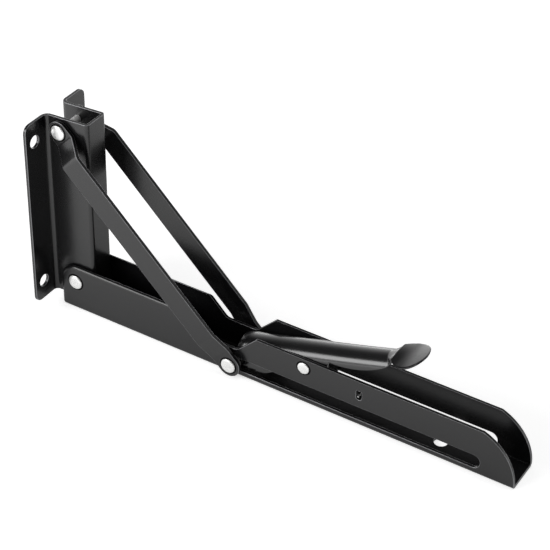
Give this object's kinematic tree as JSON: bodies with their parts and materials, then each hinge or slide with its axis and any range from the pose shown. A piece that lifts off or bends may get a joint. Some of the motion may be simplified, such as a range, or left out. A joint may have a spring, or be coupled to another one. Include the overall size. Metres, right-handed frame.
{
  "type": "folding shelf bracket",
  "caption": "Folding shelf bracket: a slotted channel arm hinged on a hat-section wall plate, held square by joggled braces and freed by a thumb lever.",
  "frame": {"origin": "under the middle of the bracket, on the shelf face of the arm, in the mid-plane", "axes": "+X along the arm away from the wall, +Y along the wall, +Z out of the shelf face towards the braces"},
  "size_m": [0.406, 0.0726, 0.1727],
  "materials": {
    "plate_paint": "semi-gloss black powder coat",
    "arm_paint": "semi-gloss black powder coat",
    "brace_paint": "semi-gloss black powder coat",
    "lever_paint": "glossy black coat",
    "rivet_steel": "bright zinc plate",
    "bare_steel": "zinc plate",
    "spring_wire": "drawn spring wire"
  },
  "bodies": {
    "wall_plate": {"wall_plate": "plate_paint", "arm_pivot_rivet": "rivet_steel", "brace_pivot_rivet": "rivet_steel", "arm_pivot_washer_far": "bare_steel", "arm_pivot_washer_near": "bare_steel", "brace_pivot_washer_far": "bare_steel", "brace_pivot_washer_near": "bare_steel"},
    "arm": {"arm_channel": "arm_paint", "lever_rivet": "rivet_steel", "lever_sleeve": "bare_steel", "lever_washer_far": "bare_steel", "lever_washer_near": "bare_steel", "lever_spring": "spring_wire"},
    "braces": {"brace_near": "brace_paint", "brace_far": "brace_paint", "slot_pin_head_near": "rivet_steel", "slot_pin_head_far": "rivet_steel"},
    "slot_rollers": {"slot_roller_near": "bare_steel", "slot_roller_far": "bare_steel"},
    "lever": {"release_lever": "lever_paint"}
  },
  "joints": [
    {"name": "arm_fold", "type": "hinge", "parent": "wall_plate", "child": "arm", "pos_m": [-0.1778, 0, 0.0266], "axis": [0, -1, 0], "range_deg": [0, 90]},
    {"name": "brace_swing", "type": "hinge", "parent": "wall_plate", "child": "braces", "pos_m": [-0.187, 0, 0.1604], "axis": [0, -1, 0], "range_deg": [0, 127.38]},
    {"name": "slot_slide", "type": "slide", "parent": "arm", "child": "slot_rollers", "axis": [1, 0, 0], "range_m": [0, 0.20152]},
    {"name": "lever_press", "type": "hinge", "parent": "arm", "child": "lever", "pos_m": [0.0298, 0, 0.0332], "axis": [0, 1, 0], "range_deg": [0, 12], "stiffness_Nm_per_rad": 0.3, "springref_deg": -20.05, "deforming": ["lever_spring"]}
  ],
  "couplings": [
    {"joint": "brace_swing", "follows": "arm_fold", "ratio": 1.4152},
    {"joint": "slot_slide", "follows": "arm_fold", "m_per_rad": 0.12828}
  ]
}
